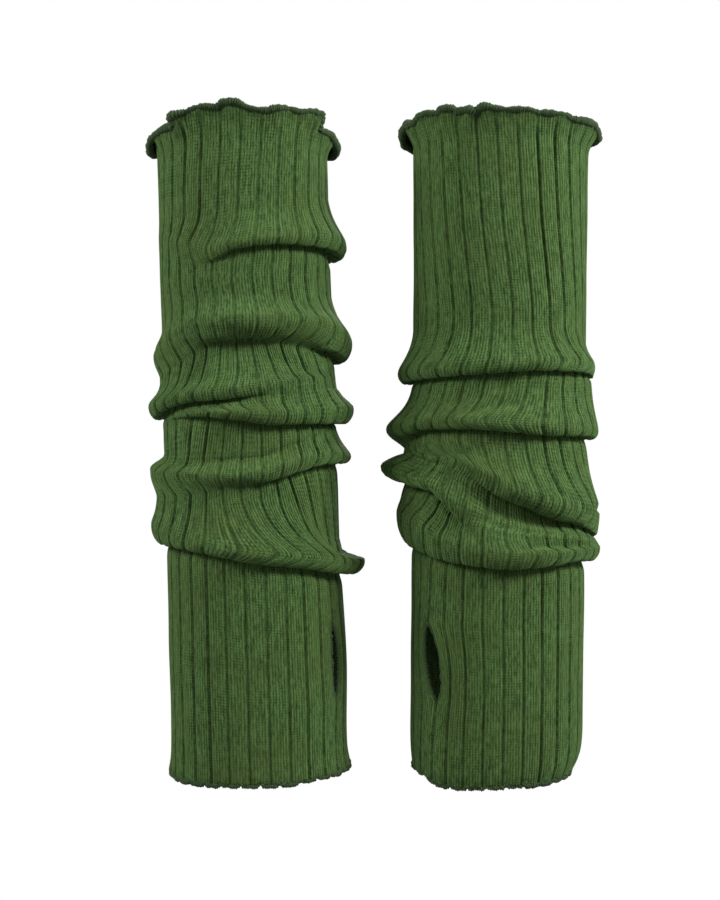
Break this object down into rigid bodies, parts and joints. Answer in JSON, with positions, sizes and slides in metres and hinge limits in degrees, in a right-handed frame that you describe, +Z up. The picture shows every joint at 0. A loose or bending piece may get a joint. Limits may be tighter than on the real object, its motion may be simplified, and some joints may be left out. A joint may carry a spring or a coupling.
{
  "type": "pair of ribbed knit wrist warmers",
  "caption": "Pair of long ribbed knit wrist warmers, slouched as worn, with wavy upper edges, scalloped hems and open thumb slits.",
  "frame": {"origin": "midway between the two forearms that hold the pair, level with the upper edges", "axes": "+Z up along the forearms towards the elbows, +X to the pair's right in the picture, front towards -Y"},
  "size_m": [0.1982, 0.0844, 0.2836],
  "materials": {
    "knit": "matte olive green rib knit",
    "overlock": "dark green overlock thread"
  },
  "bodies": {
    "root": {"tube_left": "knit", "tube_right": "knit", "edge_upper_left": "overlock", "edge_upper_right": "overlock", "edge_lower_left": "overlock", "edge_lower_right": "overlock", "edge_slit_left": "overlock", "edge_slit_right": "overlock"}
  },
  "joints": []
}
